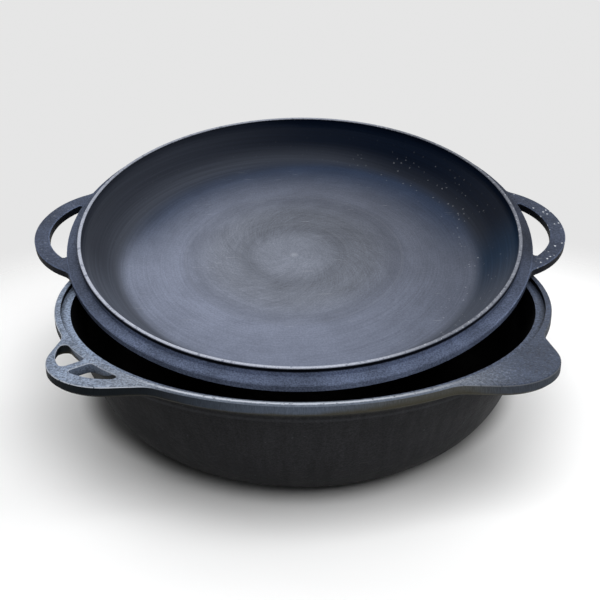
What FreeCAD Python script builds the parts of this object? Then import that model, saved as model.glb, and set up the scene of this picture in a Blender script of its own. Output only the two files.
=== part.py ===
import FreeCAD, Part
import math
import os

import Sketcher
from FreeCAD import Placement, Rotation, Vector

# Cast iron kazan with a frying-pan lid. The pot is one casting: a flat-based
# bowl with a stepped mouth and four ears level with its rim. The lid is a
# second casting: a pan with a raised lip that drops onto the pot's ledge when
# the lid is turned over, and two loop handles. The lid is shown the right way
# up, slid back and leaning on the open pot.
# Frame: origin at the middle of the pot's flat base, +Z up, the front is -Y.

# Every driving size, in millimetres and degrees.
SIZES = {
    # Pot
    "rim_radius": 170.0,
    "pot_height": 96.0,
    "collar_height": 7.0,
    "collar_overhang": 7.4,
    "rim_width": 4.0,
    "ledge_depth": 3.3,
    "wall_thickness": 4.0,
    "wall_draft": 20.7,
    "heel_radius": 68.0,
    "pot_floor": 6.5,
    "collar_top_bevel": 0.8,
    "collar_bottom_bevel": 1.5,
    "collar_root_bevel": 2.5,
    # Ears of the pot
    "ear_angle": 46.7,
    "ear_reach": 26.0,
    "ear_tip_radius": 41.0,
    "ear_flank": 50.0,
    "ear_root_radius": 18.0,
    "window_turn": 1.8,
    "window_radius": 38.8,
    "window_border": 8.9,
    "window_rib": 6.6,
    "window_corner": 2.8,
    "window_inset": 1.0,
    "window_draft": 15.0,
    "window_bevel": 0.5,
    # Lid pan
    "lip_clearance": 0.8,
    "flange_width": 8.2,
    "flange_thickness": 5.0,
    "lip_thickness": 2.8,
    "lip_height": 6.6,
    "pan_depth": 29.2,
    "pan_floor": 6.5,
    "pan_wall": 4.3,
    "pan_draft": 45.0,
    "wall_run": 24.0,
    "crease_round": 14.0,
    "shoulder_round": 8.0,
    "pan_heel_round": 12.0,
    "flange_bevel": 0.8,
    "lip_bevel": 0.5,
    # Handles of the lid pan
    "handle_reach": 26.4,
    "handle_radius": 57.7,
    "handle_bar": 11.1,
    "handle_thickness": 6.9,
    "handle_drop": 1.0,
    "handle_root": 12.0,
    "handle_corner": 2.0,
    "handle_bevel": 0.8,
    # The way the lid leans on the pot
    "lid_setback": 74.6,
    "lid_aside": 2.1,
    "seat_gap": 0.2,
}

doc = FreeCAD.newDocument("Kazan")
sheet = doc.addObject("Spreadsheet::Sheet", "Sizes")
for row, (alias, value) in enumerate(SIZES.items(), start=1):
    sheet.set(f"A{row}", alias.replace("_", " "))
    sheet.set(f"B{row}", str(value))
    sheet.setAlias(f"B{row}", alias)
doc.recompute()


def size(alias):
    return float(sheet.get(alias))


def point(x, y):
    return Vector(x, y, 0)


def origin_plane(body, role):
    """One of the three planes of the body's own origin."""
    return next(item for item in body.Origin.OriginFeatures if item.Role == role)


class Outline:
    """A closed sketch outline whose corners meet and whose sizes are named."""

    def __init__(self, body, name, role, lift=None, turn=None):
        self.sketch = body.newObject("Sketcher::SketchObject", name)
        self.sketch.AttachmentSupport = [(origin_plane(body, role), "")]
        self.sketch.MapMode = "FlatFace"
        if lift or turn:
            self.sketch.AttachmentOffset = Placement(Vector(0, 0, 1), Rotation(Vector(0, 0, 1), 1))
            self.sketch.setExpression("AttachmentOffset.Base.z", lift)
            self.sketch.setExpression("AttachmentOffset.Rotation.Angle", turn or "0")
        self.edges = {}

    def line(self, name, start, end):
        self.edges[name] = self.sketch.addGeometry(Part.LineSegment(start, end), False)

    def arc(self, name, centre, radius, first, last):
        circle = Part.Circle(centre, Vector(0, 0, 1), radius)
        arc = Part.ArcOfCircle(circle, math.radians(first), math.radians(last))
        self.edges[name] = self.sketch.addGeometry(arc, False)

    def join(self, kind, one, one_end, two, two_end):
        """Corners meet (Coincident) or run smoothly into each other (Tangent)."""
        self.add(kind, self.edges[one], one_end, self.edges[two], two_end)

    def add(self, kind, *arguments):
        return self.sketch.addConstraint(Sketcher.Constraint(kind, *arguments))

    def level(self, *names):
        for name in names:
            self.add("Horizontal", self.edges[name])

    def upright(self, *names):
        for name in names:
            self.add("Vertical", self.edges[name])

    def drive(self, label, expression, kind, *arguments):
        index = self.add(kind, *arguments, evaluate(expression, kind))
        self.sketch.renameConstraint(index, label)
        self.sketch.setExpression("Constraints." + label, expression)

    def finish(self):
        doc.recompute()
        if self.sketch.solve() != 0:
            raise RuntimeError(self.sketch.Name + " could not be solved")
        if not self.sketch.FullyConstrained:
            raise RuntimeError(self.sketch.Name + " is not fully constrained")
        return self.sketch


def evaluate(expression, kind):
    value = sheet.evalExpression(expression.replace("Sizes.", ""))
    value = float(getattr(value, "Value", value))
    return math.radians(value) if kind == "Angle" else value


# A sketch's own numbers for an edge's ends and centre, its axes and its origin.
START, END, CENTRE = range(1, 4)
LEVEL_AXIS, UPRIGHT_AXIS = range(-1, -3, -1)
ORIGIN = (LEVEL_AXIS, START)
HALF_TURN = math.degrees(math.pi)
# How close an edge must lie to a height or a radius to be taken as on it.
NEAR = 0.05
# The lid's lip drops into the pot's stepped mouth, and the flange covers the
# rim, so their radii follow the pot's. The wall inside runs down to the crease.
LIP_RADIUS = "Sizes.rim_radius - Sizes.rim_width - Sizes.lip_clearance"
LIP_INSIDE = LIP_RADIUS + " - Sizes.lip_thickness"
FLANGE_RADIUS = LIP_RADIUS + " + Sizes.flange_width"
CREASE_RADIUS = LIP_INSIDE + " - Sizes.wall_run"


def value_of(expression):
    return evaluate(expression, "Distance")


def revolve(body, sketch, name):
    feature = body.newObject("PartDesign::Revolution", name)
    feature.Profile = sketch
    feature.ReferenceAxis = (sketch, ["V_Axis"])
    feature.Angle = 360
    doc.recompute()
    return feature


def pad(body, sketch, name, length):
    feature = body.newObject("PartDesign::Pad", name)
    feature.Profile = sketch
    feature.setExpression("Length", length)
    doc.recompute()
    return feature


def soften(body, kind, name, amount, wanted):
    """Rounds or bevels every edge of the body's last feature that is wanted."""
    base = body.Tip
    names = []
    for number, edge in enumerate(base.Shape.Edges, start=1):
        if wanted(edge):
            names.append(f"Edge{number}")
    feature = body.newObject("PartDesign::" + kind, name)
    feature.Base = (base, names)
    feature.setExpression("Radius" if kind == "Fillet" else "Size", amount)
    doc.recompute()
    return feature


def middle(edge):
    return edge.valueAt(edge.getParameterByLength(edge.Length / 2))


def flat_at(edge, height):
    """True when the whole edge lies at this height."""
    ends = [vertex.Z for vertex in edge.Vertexes] + [middle(edge).z]
    return all(abs(z - height) < NEAR for z in ends)


def from_axis(edge):
    spot = middle(edge)
    return math.hypot(spot.x, spot.y)


# The pot. Its section: a flat base, a heel arc, a slanted wall, the collar
# that stands out at the mouth, and the ledge stepped down inside the rim.
def pot_section(body):
    rim, height = size("rim_radius"), size("pot_height")
    draft = math.radians(size("wall_draft"))
    heel, wall, floor = size("heel_radius"), size("wall_thickness"), size("pot_floor")
    lean = Vector(math.sin(draft), math.cos(draft), 0)
    out = Vector(math.cos(draft), -math.sin(draft), 0)
    collar = height - size("collar_height")
    wall_top = point(rim - size("collar_overhang"), collar)
    rise = (collar - heel * (1 - math.sin(draft))) / math.cos(draft)
    heel_top = wall_top - lean * rise
    heel_centre = heel_top - out * heel
    ledge = height - size("ledge_depth")
    inner = heel - wall
    across = wall_top - out * wall
    lip = across + lean * ((ledge - across.y) / math.cos(draft))
    inner_rise = (ledge - floor - inner * (1 - math.sin(draft))) / math.cos(draft)
    inner_top = lip - lean * inner_rise
    inner_centre = inner_top - out * inner
    mouth = rim - size("rim_width")

    o = Outline(body, "pot_section", "XZ_Plane")
    o.line("base", point(0, 0), point(heel_centre.x, 0))
    o.arc("heel", heel_centre, heel, -90, -math.degrees(draft))
    o.line("wall", heel_top, wall_top)
    o.line("collar_under", wall_top, point(rim, collar))
    o.line("collar_face", point(rim, collar), point(rim, height))
    o.line("rim_top", point(rim, height), point(mouth, height))
    o.line("step", point(mouth, height), point(mouth, ledge))
    o.line("ledge", point(mouth, ledge), lip)
    o.line("inner_wall", lip, inner_top)
    o.arc("inner_heel", inner_centre, inner, -90, -math.degrees(draft))
    o.line("floor", point(inner_centre.x, floor), point(0, floor))
    o.line("centre", point(0, floor), point(0, 0))
    o.join("Tangent", "base", END, "heel", START)
    o.join("Tangent", "heel", END, "wall", START)
    chain = ["wall", "collar_under", "collar_face", "rim_top", "step", "ledge", "inner_wall"]
    for one, two in zip(chain, chain[1:]):
        o.join("Coincident", one, END, two, START)
    o.join("Tangent", "inner_wall", END, "inner_heel", END)
    o.join("Tangent", "inner_heel", START, "floor", START)
    o.join("Coincident", "floor", END, "centre", START)
    o.join("Coincident", "centre", END, "base", START)
    o.level("base", "collar_under", "rim_top", "ledge", "floor")
    o.upright("collar_face", "step", "centre")
    e = o.edges
    o.add("Coincident", e["base"], START, *ORIGIN)
    o.add("Parallel", e["wall"], e["inner_wall"])
    o.drive("rim", "Sizes.rim_radius", "DistanceX", *ORIGIN, e["rim_top"], START)
    o.drive("height", "Sizes.pot_height", "DistanceY", *ORIGIN, e["rim_top"], START)
    o.drive("collar", "Sizes.collar_height", "DistanceY", e["collar_face"], START, e["collar_face"], END)
    o.drive("overhang", "Sizes.collar_overhang", "DistanceX", e["collar_under"], START, e["collar_under"], END)
    o.drive("rim_width", "Sizes.rim_width", "DistanceX", e["rim_top"], END, e["rim_top"], START)
    o.drive("ledge_depth", "Sizes.ledge_depth", "DistanceY", e["step"], END, e["step"], START)
    o.drive("draft", "90 - Sizes.wall_draft", "Angle", e["wall"])
    o.drive("heel", "Sizes.heel_radius", "Radius", e["heel"])
    o.drive("inner_heel", "Sizes.heel_radius - Sizes.wall_thickness", "Radius", e["inner_heel"])
    o.drive("floor", "Sizes.pot_floor", "DistanceY", e["centre"], END, e["centre"], START)
    o.drive("wall", "Sizes.wall_thickness", "Distance", e["inner_wall"], START, e["wall"])
    return o.finish()


# One ear, drawn pointing along +Y and turned to its place: a rounded tip,
# flanks that slant outwards, and hollow roots that run into the rim.
def ear_outline(body, name, turn):
    rim, tip = size("rim_radius"), size("ear_tip_radius")
    centre = rim + size("ear_reach") - tip
    flank = math.radians(size("ear_flank"))
    root = size("ear_root_radius")
    normal = Vector(math.sin(flank), math.cos(flank), 0)
    along = Vector(math.cos(flank), -math.sin(flank), 0)
    far = centre * math.cos(flank) + tip + root
    root_centre = normal * far - along * math.sqrt((rim + root) ** 2 - far ** 2)
    tip_end = point(0, centre) + normal * tip
    root_start = root_centre - normal * root
    root_end = root_centre * (rim / (rim + root))
    inside = rim - size("rim_width") / 2
    heel = point(root_end.x, math.sqrt(inside ** 2 - root_end.x ** 2))
    low = math.degrees(math.atan2(-root_centre.y, -root_centre.x))
    high = math.degrees(math.atan2(-normal.y, -normal.x))
    edge = math.degrees(math.atan2(heel.y, heel.x))

    def mirror(spot):
        return point(-spot.x, spot.y)

    o = Outline(body, name, "XY_Plane", "Sizes.pot_height - Sizes.collar_height", turn)
    o.arc("tip", point(0, centre), tip, 90 - math.degrees(flank), 90 + math.degrees(flank))
    o.line("flank_a", tip_end, root_start)
    o.arc("root_a", root_centre, root, high, low)
    o.line("side_a", root_end, heel)
    o.arc("inside", point(0, 0), inside, edge, HALF_TURN - edge)
    o.line("side_b", mirror(heel), mirror(root_end))
    o.arc("root_b", mirror(root_centre), root, HALF_TURN - low, HALF_TURN - high)
    o.line("flank_b", mirror(root_start), mirror(tip_end))
    o.join("Tangent", "tip", START, "flank_a", START)
    o.join("Tangent", "flank_a", END, "root_a", START)
    o.join("Coincident", "root_a", END, "side_a", START)
    o.join("Coincident", "side_a", END, "inside", START)
    o.join("Coincident", "inside", END, "side_b", START)
    o.join("Coincident", "side_b", END, "root_b", START)
    o.join("Tangent", "root_b", END, "flank_b", START)
    o.join("Tangent", "flank_b", END, "tip", END)
    o.upright("side_a", "side_b")
    e = o.edges
    circle = o.sketch.addGeometry(Part.Circle(point(0, 0), Vector(0, 0, 1), rim), True)
    o.add("Coincident", circle, CENTRE, *ORIGIN)
    o.add("Coincident", e["inside"], CENTRE, *ORIGIN)
    o.add("PointOnObject", e["tip"], CENTRE, UPRIGHT_AXIS)
    o.add("Tangent", e["root_a"], END, circle)
    o.add("Tangent", e["root_b"], START, circle)
    o.add("Equal", e["root_a"], e["root_b"])
    o.drive("rim", "Sizes.rim_radius", "Radius", circle)
    o.drive("inside", "Sizes.rim_radius - Sizes.rim_width / 2", "Radius", e["inside"])
    o.drive("tip", "Sizes.ear_tip_radius", "Radius", e["tip"])
    reach = "Sizes.rim_radius + Sizes.ear_reach - Sizes.ear_tip_radius"
    o.drive("reach", reach, "DistanceY", *ORIGIN, e["tip"], CENTRE)
    o.drive("root", "Sizes.ear_root_radius", "Radius", e["root_a"])
    o.drive("flank_a", "-Sizes.ear_flank", "Angle", e["flank_a"])
    o.drive("flank_b", "Sizes.ear_flank", "Angle", e["flank_b"])
    return o.finish()


pot = doc.addObject("PartDesign::Body", "kazan_pot")
pot.Label = "kazan_pot"
doc.recompute()
# The bowl, its four ears at the collar's own thickness, and the cast edges.
revolve(pot, pot_section(pot), "bowl")
EARS = {
    "front_right": "180 + Sizes.ear_angle",
    "front_left": "180 - Sizes.ear_angle",
    "rear_right": "360 - Sizes.ear_angle",
    "rear_left": "Sizes.ear_angle",
}
for place, turn in EARS.items():
    outline = ear_outline(pot, f"ear_outline_{place}", turn)
    pad(pot, outline, f"ear_{place}", "Sizes.collar_height")

rim_z = size("pot_height")
collar_z = rim_z - size("collar_height")
outside = size("rim_radius") - size("rim_width") / 2
wall_top = size("rim_radius") - size("collar_overhang")
soften(pot, "Chamfer", "collar_top_bevel", "Sizes.collar_top_bevel",
       lambda edge: flat_at(edge, rim_z) and from_axis(edge) > outside)
soften(pot, "Chamfer", "collar_bottom_bevel", "Sizes.collar_bottom_bevel",
       lambda edge: flat_at(edge, collar_z) and from_axis(edge) > outside)
soften(pot, "Chamfer", "collar_root_bevel", "Sizes.collar_root_bevel",
       lambda edge: flat_at(edge, collar_z) and abs(from_axis(edge) - wall_top) < NEAR)


# Two ears, set diagonally, have a pair of windows with a rib between them, cast
# a little off the ear's own middle. One window is drawn to the right of the rib
# and mirrored to the left. Their sides slope, so they narrow downwards.
def window_outline(body, name, turn):
    half, corner = size("window_rib") / 2, size("window_corner")
    outer = size("window_radius")
    inner = size("rim_radius") + size("window_inset")
    centre = size("rim_radius") + size("ear_reach") - size("window_border") - outer
    side = half + corner
    top = point(side, centre + math.sqrt((outer - corner) ** 2 - side ** 2))
    bottom = point(side, math.sqrt((inner + corner) ** 2 - side ** 2))
    level = ((inner + corner) ** 2 - (outer - corner) ** 2 + centre ** 2) / (2 * centre)
    end = point(math.sqrt((inner + corner) ** 2 - level ** 2), level)

    def heading(x, y):
        return math.degrees(math.atan2(y, x))

    o = Outline(body, name, "XY_Plane", "Sizes.pot_height", turn)
    o.line("rib", point(half, bottom.y), point(half, top.y))
    o.arc("top_corner", top, corner, heading(top.x, top.y - centre), HALF_TURN)
    o.arc("outer", point(0, centre), outer, heading(end.x, end.y - centre), heading(top.x, top.y - centre))
    o.arc("end_corner", end, corner, heading(-end.x, -end.y), heading(end.x, end.y - centre))
    o.arc("inner", point(0, 0), inner, heading(end.x, end.y), heading(bottom.x, bottom.y))
    o.arc("bottom_corner", bottom, corner, HALF_TURN, 2 * HALF_TURN + heading(-bottom.x, -bottom.y))
    o.join("Tangent", "rib", END, "top_corner", END)
    o.join("Tangent", "top_corner", START, "outer", END)
    o.join("Tangent", "outer", START, "end_corner", END)
    o.join("Tangent", "end_corner", START, "inner", START)
    o.join("Tangent", "inner", END, "bottom_corner", END)
    o.join("Tangent", "bottom_corner", START, "rib", START)
    o.upright("rib")
    e = o.edges
    o.add("Coincident", e["inner"], CENTRE, *ORIGIN)
    o.add("PointOnObject", e["outer"], CENTRE, UPRIGHT_AXIS)
    o.add("Equal", e["top_corner"], e["bottom_corner"])
    o.add("Equal", e["top_corner"], e["end_corner"])
    o.drive("corner", "Sizes.window_corner", "Radius", e["top_corner"])
    o.drive("outer", "Sizes.window_radius", "Radius", e["outer"])
    o.drive("inner", "Sizes.rim_radius + Sizes.window_inset", "Radius", e["inner"])
    o.drive("rib", "Sizes.window_rib / 2", "DistanceX", *ORIGIN, e["rib"], START)
    reach = "Sizes.rim_radius + Sizes.ear_reach - Sizes.window_border - Sizes.window_radius"
    o.drive("reach", reach, "DistanceY", *ORIGIN, e["outer"], CENTRE)
    return o.finish()


window_reach = size("ear_reach") - size("window_border") + NEAR
for place in ("front_left", "rear_right"):
    outline = window_outline(pot, f"window_outline_{place}", EARS[place] + " - Sizes.window_turn")
    before = pot.Shape.Volume
    window = pot.newObject("PartDesign::Pocket", f"window_{place}")
    window.Profile = outline
    window.setExpression("Length", "Sizes.collar_height + Sizes.collar_bottom_bevel")
    window.setExpression("TaperAngle", "Sizes.window_draft")
    doc.recompute()
    pair = pot.newObject("PartDesign::Mirrored", f"window_pair_{place}")
    pair.Originals = [window]
    pair.MirrorPlane = (outline, ["V_Axis"])
    pot.Tip = pair
    doc.recompute()
    if pot.Shape.Volume > before - NEAR:
        raise RuntimeError("window_" + place + " cuts nothing")

mouth = size("rim_radius")
soften(pot, "Chamfer", "window_bevel", "Sizes.window_bevel",
       lambda edge: flat_at(edge, rim_z) and mouth < from_axis(edge) < mouth + window_reach)


# The lid pan, drawn about its own axis with its underside at height 0.
def pan_section(body):
    total = size("pan_depth") + size("pan_floor")
    draft = math.radians(size("pan_draft"))
    lean = Vector(math.sin(draft), math.cos(draft), 0)
    out = Vector(math.cos(draft), -math.sin(draft), 0)
    floor = size("pan_floor")
    flange = value_of(FLANGE_RADIUS)
    top = total - size("lip_height")
    under = top - size("flange_thickness")
    lip, inside = value_of(LIP_RADIUS), value_of(LIP_INSIDE)
    crease = point(value_of(CREASE_RADIUS), floor)
    turn = size("shoulder_round")
    wall_end = crease + lean * ((inside - turn + turn * out.x - crease.x) / lean.x)
    shoulder = wall_end - out * turn
    outer = crease + out * size("pan_wall")
    heel = outer - lean * (outer.y / lean.y)
    armpit = outer + lean * ((under - outer.y) / lean.y)

    o = Outline(body, "pan_section", "XZ_Plane")
    o.line("base", point(0, 0), heel)
    o.line("wall", heel, armpit)
    o.line("flange_under", armpit, point(flange, under))
    o.line("flange_edge", point(flange, under), point(flange, top))
    o.line("flange_top", point(flange, top), point(lip, top))
    o.line("lip_outside", point(lip, top), point(lip, total))
    o.line("lip_top", point(lip, total), point(inside, total))
    o.line("lip_inside", point(inside, total), point(inside, shoulder.y))
    o.arc("shoulder", shoulder, turn, -math.degrees(draft), 0)
    o.line("inner_wall", wall_end, crease)
    o.line("floor", crease, point(0, floor))
    o.line("centre", point(0, floor), point(0, 0))
    chain = list(o.edges)
    for one, two in zip(chain, chain[1:] + chain[:1]):
        if "shoulder" not in (one, two):
            o.join("Coincident", one, END, two, START)
    o.join("Tangent", "lip_inside", END, "shoulder", END)
    o.join("Tangent", "shoulder", START, "inner_wall", START)
    o.level("base", "flange_under", "flange_top", "lip_top", "floor")
    o.upright("flange_edge", "lip_outside", "lip_inside", "centre")
    e = o.edges
    o.add("Coincident", e["base"], START, *ORIGIN)
    o.add("Parallel", e["wall"], e["inner_wall"])
    o.drive("flange_radius", FLANGE_RADIUS, "DistanceX", *ORIGIN, e["flange_top"], START)
    o.drive("lip_radius", LIP_RADIUS, "DistanceX", *ORIGIN, e["lip_top"], START)
    o.drive("lip_thickness", "Sizes.lip_thickness", "DistanceX", e["lip_top"], END, e["lip_top"], START)
    o.drive("lip_height", "Sizes.lip_height", "DistanceY", e["lip_outside"], START, e["lip_outside"], END)
    o.drive("flange", "Sizes.flange_thickness", "DistanceY", e["flange_edge"], START, e["flange_edge"], END)
    o.drive("depth", "Sizes.pan_depth", "DistanceY", e["floor"], START, e["lip_top"], END)
    o.drive("floor", "Sizes.pan_floor", "DistanceY", e["centre"], END, e["centre"], START)
    o.drive("crease", CREASE_RADIUS, "DistanceX", *ORIGIN, e["floor"], START)
    o.drive("shoulder", "Sizes.shoulder_round", "Radius", e["shoulder"])
    o.drive("draft", "-90 - Sizes.pan_draft", "Angle", e["inner_wall"])
    o.drive("wall", "Sizes.pan_wall", "Distance", e["inner_wall"], END, e["wall"])
    return o.finish()


# One loop handle, a flat bar bent round a finger gap. Both ends run into the
# flange and are rounded where they meet it, outside the loop and inside it.
def handle_outline(body):
    rim, outer = value_of(FLANGE_RADIUS), size("handle_radius")
    inner = outer - size("handle_bar")
    centre = rim + size("handle_reach") - outer
    root, corner = size("handle_root"), size("handle_corner")
    inside = rim - size("flange_thickness")

    def meeting(from_centre, from_axis):
        x = (from_axis ** 2 - from_centre ** 2 + centre ** 2) / (2 * centre)
        return point(x, math.sqrt(from_axis ** 2 - x ** 2))

    def heading(spot, about=0.0):
        return math.degrees(math.atan2(spot.y, spot.x - about))

    def mirror(spot):
        return point(spot.x, -spot.y)

    root_centre = meeting(outer + root, rim + root)
    gap_centre = meeting(inner - corner, rim + corner)
    root_end = root_centre * (rim / (rim + root))
    gap_end = gap_centre * (rim / (rim + corner))
    root_in = point(math.sqrt(inside ** 2 - root_end.y ** 2), root_end.y)
    gap_in = point(math.sqrt(inside ** 2 - gap_end.y ** 2), gap_end.y)
    root_low = HALF_TURN + heading(root_centre)
    root_high = HALF_TURN + heading(root_centre, centre)
    gap_low = heading(gap_centre, centre)
    gap_high = HALF_TURN + heading(gap_centre)

    lift = "Sizes.pan_depth + Sizes.pan_floor - Sizes.lip_height - Sizes.handle_drop - Sizes.handle_thickness"
    o = Outline(body, "handle_outline", "XY_Plane", lift)
    o.arc("outer", point(centre, 0), outer, -heading(root_centre, centre), heading(root_centre, centre))
    o.arc("root_a", root_centre, root, root_low, root_high)
    o.line("end_a", root_end, root_in)
    o.arc("inside_a", point(0, 0), inside, heading(gap_in), heading(root_in))
    o.line("side_a", gap_in, gap_end)
    o.arc("gap_a", gap_centre, corner, gap_low, gap_high)
    o.arc("inner", point(centre, 0), inner, -gap_low, gap_low)
    o.arc("gap_b", mirror(gap_centre), corner, -gap_high, -gap_low)
    o.line("side_b", mirror(gap_end), mirror(gap_in))
    o.arc("inside_b", point(0, 0), inside, -heading(root_in), -heading(gap_in))
    o.line("end_b", mirror(root_in), mirror(root_end))
    o.arc("root_b", mirror(root_centre), root, -root_high, -root_low)
    o.join("Tangent", "outer", END, "root_a", END)
    o.join("Coincident", "root_a", START, "end_a", START)
    o.join("Coincident", "end_a", END, "inside_a", END)
    o.join("Coincident", "inside_a", START, "side_a", START)
    o.join("Coincident", "side_a", END, "gap_a", END)
    o.join("Tangent", "gap_a", START, "inner", END)
    o.join("Tangent", "inner", START, "gap_b", END)
    o.join("Coincident", "gap_b", START, "side_b", START)
    o.join("Coincident", "side_b", END, "inside_b", END)
    o.join("Coincident", "inside_b", START, "end_b", START)
    o.join("Coincident", "end_b", END, "root_b", END)
    o.join("Tangent", "root_b", START, "outer", START)
    o.level("end_a", "side_a", "side_b", "end_b")
    e = o.edges
    circle = o.sketch.addGeometry(Part.Circle(point(0, 0), Vector(0, 0, 1), rim), True)
    for name in ("inside_a", "inside_b"):
        o.add("Coincident", e[name], CENTRE, *ORIGIN)
    o.add("Coincident", circle, CENTRE, *ORIGIN)
    o.add("PointOnObject", e["outer"], CENTRE, LEVEL_AXIS)
    o.add("Coincident", e["inner"], CENTRE, e["outer"], CENTRE)
    o.add("Tangent", e["root_a"], START, circle)
    o.add("Tangent", e["root_b"], END, circle)
    o.add("Tangent", e["gap_a"], END, circle)
    o.add("Tangent", e["gap_b"], START, circle)
    o.add("Equal", e["inside_a"], e["inside_b"])
    o.add("Equal", e["root_a"], e["root_b"])
    o.add("Equal", e["gap_a"], e["gap_b"])
    o.drive("rim", FLANGE_RADIUS, "Radius", circle)
    o.drive("inside", FLANGE_RADIUS + " - Sizes.flange_thickness", "Radius", e["inside_a"])
    o.drive("outer", "Sizes.handle_radius", "Radius", e["outer"])
    o.drive("inner", "Sizes.handle_radius - Sizes.handle_bar", "Radius", e["inner"])
    reach = FLANGE_RADIUS + " + Sizes.handle_reach - Sizes.handle_radius"
    o.drive("reach", reach, "DistanceX", *ORIGIN, e["outer"], CENTRE)
    o.drive("root", "Sizes.handle_root", "Radius", e["root_a"])
    o.drive("corner", "Sizes.handle_corner", "Radius", e["gap_a"])
    return o.finish()


# The handle's bar is bevelled by itself and mirrored to the other side. Then
# the dish is turned through the bars' ends and its own corners are softened.
pan = doc.addObject("PartDesign::Body", "lid_pan")
pan.Label = "lid_pan"
pan.AllowCompound = True
doc.recompute()
total = size("pan_depth") + size("pan_floor")
flange_top = total - size("lip_height")
handle_top = flange_top - size("handle_drop")
handle_under = handle_top - size("handle_thickness")
flange_radius = value_of(FLANGE_RADIUS)
grip_outline = handle_outline(pan)
pad(pan, grip_outline, "handle", "Sizes.handle_thickness")
soften(pan, "Chamfer", "handle_bevel", "Sizes.handle_bevel",
       lambda edge: flat_at(edge, handle_top) or flat_at(edge, handle_under))
grips = pan.newObject("PartDesign::Mirrored", "handles")
grips.TransformMode = "Whole shape"
grips.MirrorPlane = (origin_plane(pan, "YZ_Plane"), [""])
pan.Tip = grips
doc.recompute()
revolve(pan, pan_section(pan), "dish")
soften(pan, "Fillet", "crease_round", "Sizes.crease_round",
       lambda edge: flat_at(edge, size("pan_floor")))
soften(pan, "Fillet", "heel_round", "Sizes.pan_heel_round",
       lambda edge: flat_at(edge, 0))
soften(pan, "Chamfer", "lip_bevel", "Sizes.lip_bevel",
       lambda edge: flat_at(edge, total))
soften(pan, "Chamfer", "flange_bevel", "Sizes.flange_bevel",
       lambda edge: flat_at(edge, flange_top) and from_axis(edge) > flange_radius - NEAR)


# How the lid leans, a little to the left of the middle. The dish rests in the
# rear half of the pot's mouth and the root of a handle on the rim beside it, so
# the tilt and the height follow from the sizes. A gap is measured for each
# trial, first between the dish and the mouth, then under the handles.
BAND = (size("rim_radius") - size("rim_width"), size("rim_radius") - size("collar_top_bevel"))
STEPS = 720
PASSES = 8
HALVINGS = 20
LEAST_TILT, MOST_TILT = math.radians(1), math.radians(35)
LID_BACK, LID_ASIDE = size("lid_setback"), size("lid_aside")
RIM_HEIGHT = size("pot_height")


def mouth_edges():
    """Radius and height of each edge that the lid could lie on."""
    draft = math.radians(size("wall_draft"))
    ledge = size("pot_height") - size("ledge_depth")
    wall = size("rim_radius") - size("collar_overhang") - size("wall_thickness") / math.cos(draft)
    inside = wall + (ledge - collar_z) * math.tan(draft)
    rims = [(radius, size("pot_height")) for radius in BAND]
    rims.append((size("rim_radius"), size("pot_height") - size("collar_top_bevel")))
    return rims + [(inside, ledge), (wall, collar_z)]


EDGES = mouth_edges()


def dish_outside():
    """The dish's outside: its heel's corner, tangent and radius, and its slope."""
    draft = math.radians(size("pan_draft"))
    slope = math.radians(90 - size("pan_draft"))
    wall = point(value_of(CREASE_RADIUS), size("pan_floor"))
    wall += Vector(math.cos(draft), -math.sin(draft), 0) * size("pan_wall")
    turn = size("pan_heel_round")
    return wall.x - wall.y / math.tan(slope), turn * math.tan(slope / 2), turn, slope


HEEL_CORNER, HEEL_TANGENT, HEEL_TURN, SLOPE = dish_outside()
FLANGE_UNDER = flange_top - size("flange_thickness")


def underside(reach):
    """Height of the dish's outside at this distance from its own axis."""
    if reach < HEEL_CORNER - HEEL_TANGENT:
        return 0.0
    if reach < HEEL_CORNER + HEEL_TANGENT * math.cos(SLOPE):
        return HEEL_TURN - math.sqrt(HEEL_TURN ** 2 - (reach - HEEL_CORNER + HEEL_TANGENT) ** 2)
    return min((reach - HEEL_CORNER) * math.tan(SLOPE), FLANGE_UNDER)


def rear_gap(tilt, height):
    """Least gap between the dish and the rear half of the mouth."""
    gap = math.inf
    for step in range(STEPS):
        angle = math.pi * step / STEPS
        for radius, level in EDGES:
            back = radius * math.sin(angle) - LID_BACK
            drop = level - height
            along = back * math.cos(tilt) + drop * math.sin(tilt)
            up = drop * math.cos(tilt) - back * math.sin(tilt)
            reach = math.hypot(radius * math.cos(angle) + LID_ASIDE, along)
            if along > 0 and reach < flange_radius:
                gap = min(gap, underside(reach) - up)
    return gap


def lower_edge():
    """Points of the lid's lower edge at one side: flange, then handle."""
    bevel, root = size("handle_bevel"), size("handle_root")
    rim, outer = flange_radius, size("handle_radius")
    centre = rim + size("handle_reach") - outer
    x = ((rim + root) ** 2 - (outer + root) ** 2 + centre ** 2) / (2 * centre)
    y = math.sqrt((rim + root) ** 2 - x ** 2)
    low = math.atan2(y, x) + math.pi
    high = math.atan2(y, x - centre) + math.pi
    spots = []
    for step in range(STEPS + 1):
        part = step / STEPS
        angle = math.pi * (part - 0.5)
        spots.append((rim * math.cos(angle), rim * math.sin(angle), FLANGE_UNDER))
        for inset, level in ((bevel, handle_under), (0, handle_under + bevel)):
            angle = (high - math.pi) * (2 * part - 1)
            reach = outer - inset
            spots.append((centre + reach * math.cos(angle), reach * math.sin(angle), level))
            angle = low + (high - low) * part
            reach = root + inset
            spots.append((x + reach * math.cos(angle), -y - reach * math.sin(angle), level))
    return spots


LOWER_EDGE = lower_edge()


def side_gap(tilt, height):
    """Least gap between the lid's lower edge and the top of the rim."""
    gap = math.inf
    for x, y, z in LOWER_EDGE:
        back = LID_BACK + y * math.cos(tilt) - z * math.sin(tilt)
        up = height + y * math.sin(tilt) + z * math.cos(tilt)
        for side in (x - LID_ASIDE, -x - LID_ASIDE):
            if BAND[0] <= math.hypot(side, back) <= BAND[1]:
                gap = min(gap, up - RIM_HEIGHT)
    return gap


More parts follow.
